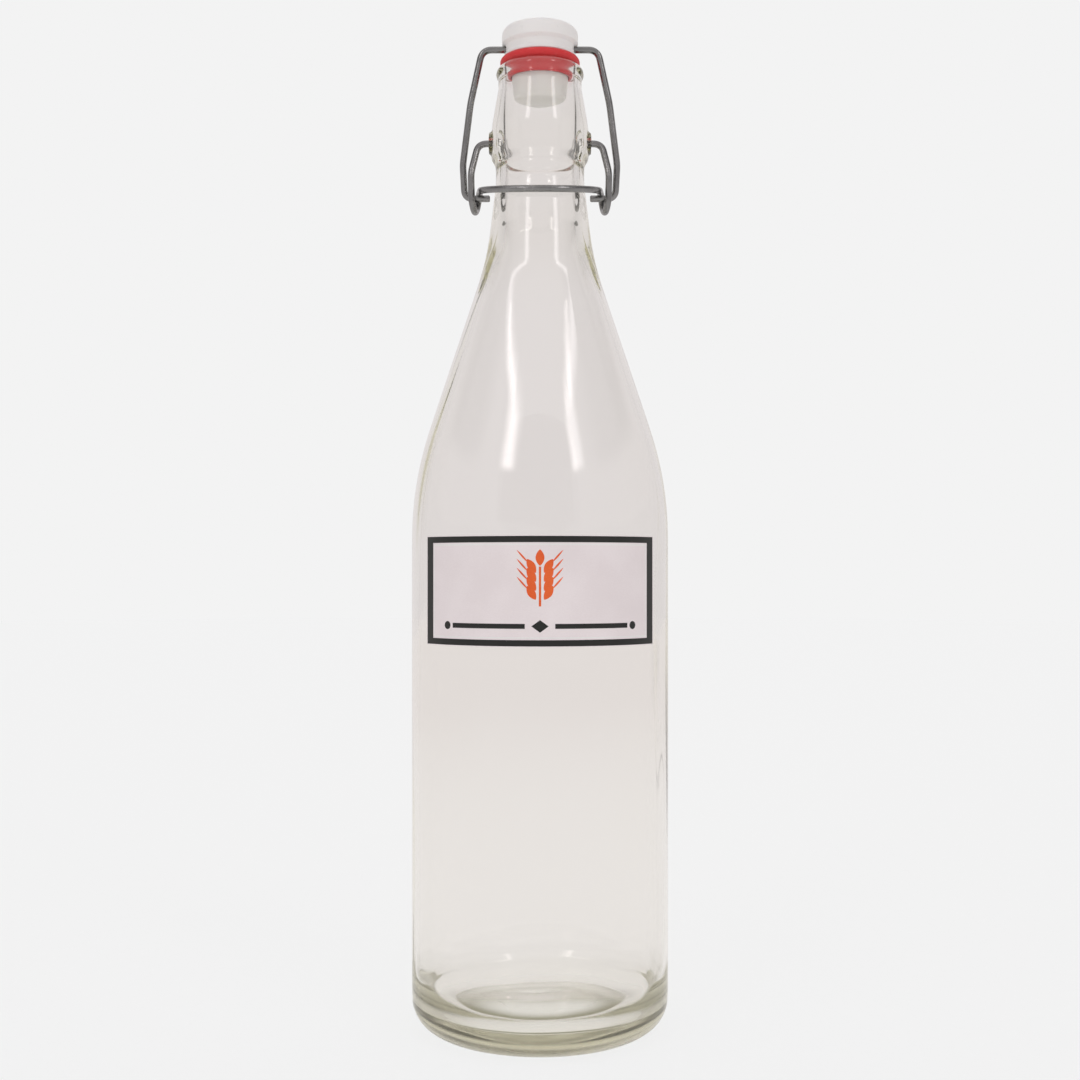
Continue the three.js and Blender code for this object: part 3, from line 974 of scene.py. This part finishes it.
def floor():
    """A pale round table top that glows a little, so that it stays even.

    The shade and the tint that the thick base would throw are painted under it: a light painted
    shade under the middle, and a dark painted ring under the rim. The camera sees the rest in one
    plain colour, and the glass and metal see it a little darker.
    """
    rings = [0.0, 60.0, 120.0, 240.0, 480.0, 1000.0, 2000.0, 4000.0]
    sides = 96
    vertices = [(0, 0, 0)]
    for radius in rings[1:]:
        for a in np.linspace(0, 2 * math.pi, sides, endpoint=False):
            vertices.append((radius * math.cos(a), radius * math.sin(a), 0))
    faces = [(0, 1 + j, 1 + (j + 1) % sides) for j in range(sides)]
    for i in range(len(rings) - 2):
        low, high = 1 + i * sides, 1 + (i + 1) * sides
        for j in range(sides):
            k = (j + 1) % sides
            faces.append((low + j, high + j, high + k, low + k))
    obj = add_object("floor", vertices, faces)
    obj.location.z = -FLOOR_DROP
    made, n = material("pale_floor")
    place = n.place()
    grain = n.noise(place, 260, 4.0, 0.6)
    diffuse = n.add("ShaderNodeBsdfDiffuse", {
        "Color": n.blend(grain, (0.145, 0.145, 0.145, 1), (0.155, 0.155, 0.155, 1)),
        "Roughness": 0.6,
    })
    from_axis = n.add("ShaderNodeVectorMath", {0: place}, operation="LENGTH").outputs["Value"]
    # painted shade under the base: a light one in the middle, a dark tinted ring under the rim
    shade = n.ramp(from_axis, *SHADE_START, 0.0, 1.0)
    under = n.blend(shade, UNDER_SHADE_COLOUR, SHADE_COLOUR)
    near = n.ramp(from_axis, *SHADE_END, 0.0, 1.0)
    seen = n.add("ShaderNodeLightPath").outputs["Is Camera Ray"]
    far = n.ramp(from_axis, *FAR_START, 0.0, 1.0)
    table = n.blend(far, NEAR_COLOUR, FAR_COLOUR)
    table = n.blend(seen, table, FLOOR_COLOUR)
    glow = n.add("ShaderNodeEmission", {"Color": n.blend(near, under, table), "Strength": 1.0})
    both = n.add("ShaderNodeAddShader", {0: diffuse.outputs[0], 1: glow.outputs[0]})
    n.add("ShaderNodeOutputMaterial", {"Surface": both.outputs[0]})
    obj.data.materials.append(made)


def surroundings():
    """A soft studio for the glass and metal to show, and a plain backdrop for the camera.

    The studio has a bright wall behind, darker sides, tall lamps in front, each with a thin bar
    of light along its top, and a dark card high on each side.
    """
    world = bpy.data.worlds.new("studio")
    world.use_nodes = True
    n = Nodes(world.node_tree)
    direction = n.add("ShaderNodeTexCoord").outputs["Generated"]
    parts = n.add("ShaderNodeSeparateXYZ", {0: direction})
    x, y, z = parts.outputs
    azimuth = n.math("DEGREES", n.math("ARCTAN2", x, n.math("MULTIPLY", y, -1.0)))
    elevation = n.math("DEGREES", n.math("ARCSINE", z))
    turned = n.math("ABSOLUTE", azimuth)  # 0 in front of the bottle, 180 behind it

    def band(value, start, end, soft):
        rise = n.ramp(value, start - soft, start + soft, 0.0, 1.0)
        fall = n.ramp(value, end - soft, end + soft, 1.0, 0.0)
        return n.math("MULTIPLY", rise, fall)

    behind = n.ramp(turned, *BACK_START, 0.0, 1.0)
    side = n.ramp(turned, *SIDE_START, 0.0, 1.0)
    level = n.math("ADD", n.math("MULTIPLY", side, SIDE_LEVEL - FRONT_LEVEL), FRONT_LEVEL)
    level = n.math("ADD", level, n.math("MULTIPLY", behind, BACK_LEVEL - SIDE_LEVEL))
    up = n.ramp(elevation, *TOP_START, 0.0, 1.0)
    level = n.math("ADD", level, n.math("MULTIPLY", up, TOP_LEVEL))
    total = level
    for start, end, low, high, soft, strength in LAMPS:
        across = band(azimuth, start, end, soft * 2)
        lamp = n.math("MULTIPLY", across, band(elevation, low, high, soft))
        total = n.math("ADD", total, n.math("MULTIPLY", lamp, strength))
    studio = n.add("ShaderNodeBackground", {"Color": STUDIO_COLOUR, "Strength": total})
    plain = n.add("ShaderNodeBackground", {"Color": BACKDROP_COLOUR, "Strength": 1.0})
    seen = n.add("ShaderNodeLightPath").outputs["Is Camera Ray"]
    mix = n.add("ShaderNodeMixShader", {0: seen, 1: studio.outputs[0], 2: plain.outputs[0]})
    n.add("ShaderNodeOutputWorld", {"Surface": mix.outputs[0]})
    bpy.context.scene.world = world


floor()
surroundings()

camera_data = bpy.data.cameras.new("camera")
camera_data.sensor_width = 36
camera_data.lens = LENS
camera_data.shift_y = CAMERA_SHIFT
camera_data.clip_start = 0.01
camera = bpy.data.objects.new("camera", camera_data)
camera.location = CAMERA_PLACE
camera.rotation_euler = (math.radians(90), 0, 0)
bpy.context.scene.collection.objects.link(camera)
bpy.context.scene.camera = camera
bpy.context.scene.view_settings.view_transform = "Standard"
cycles = bpy.context.scene.cycles
cycles.max_bounces = cycles.glossy_bounces = cycles.transmission_bounces = BOUNCES
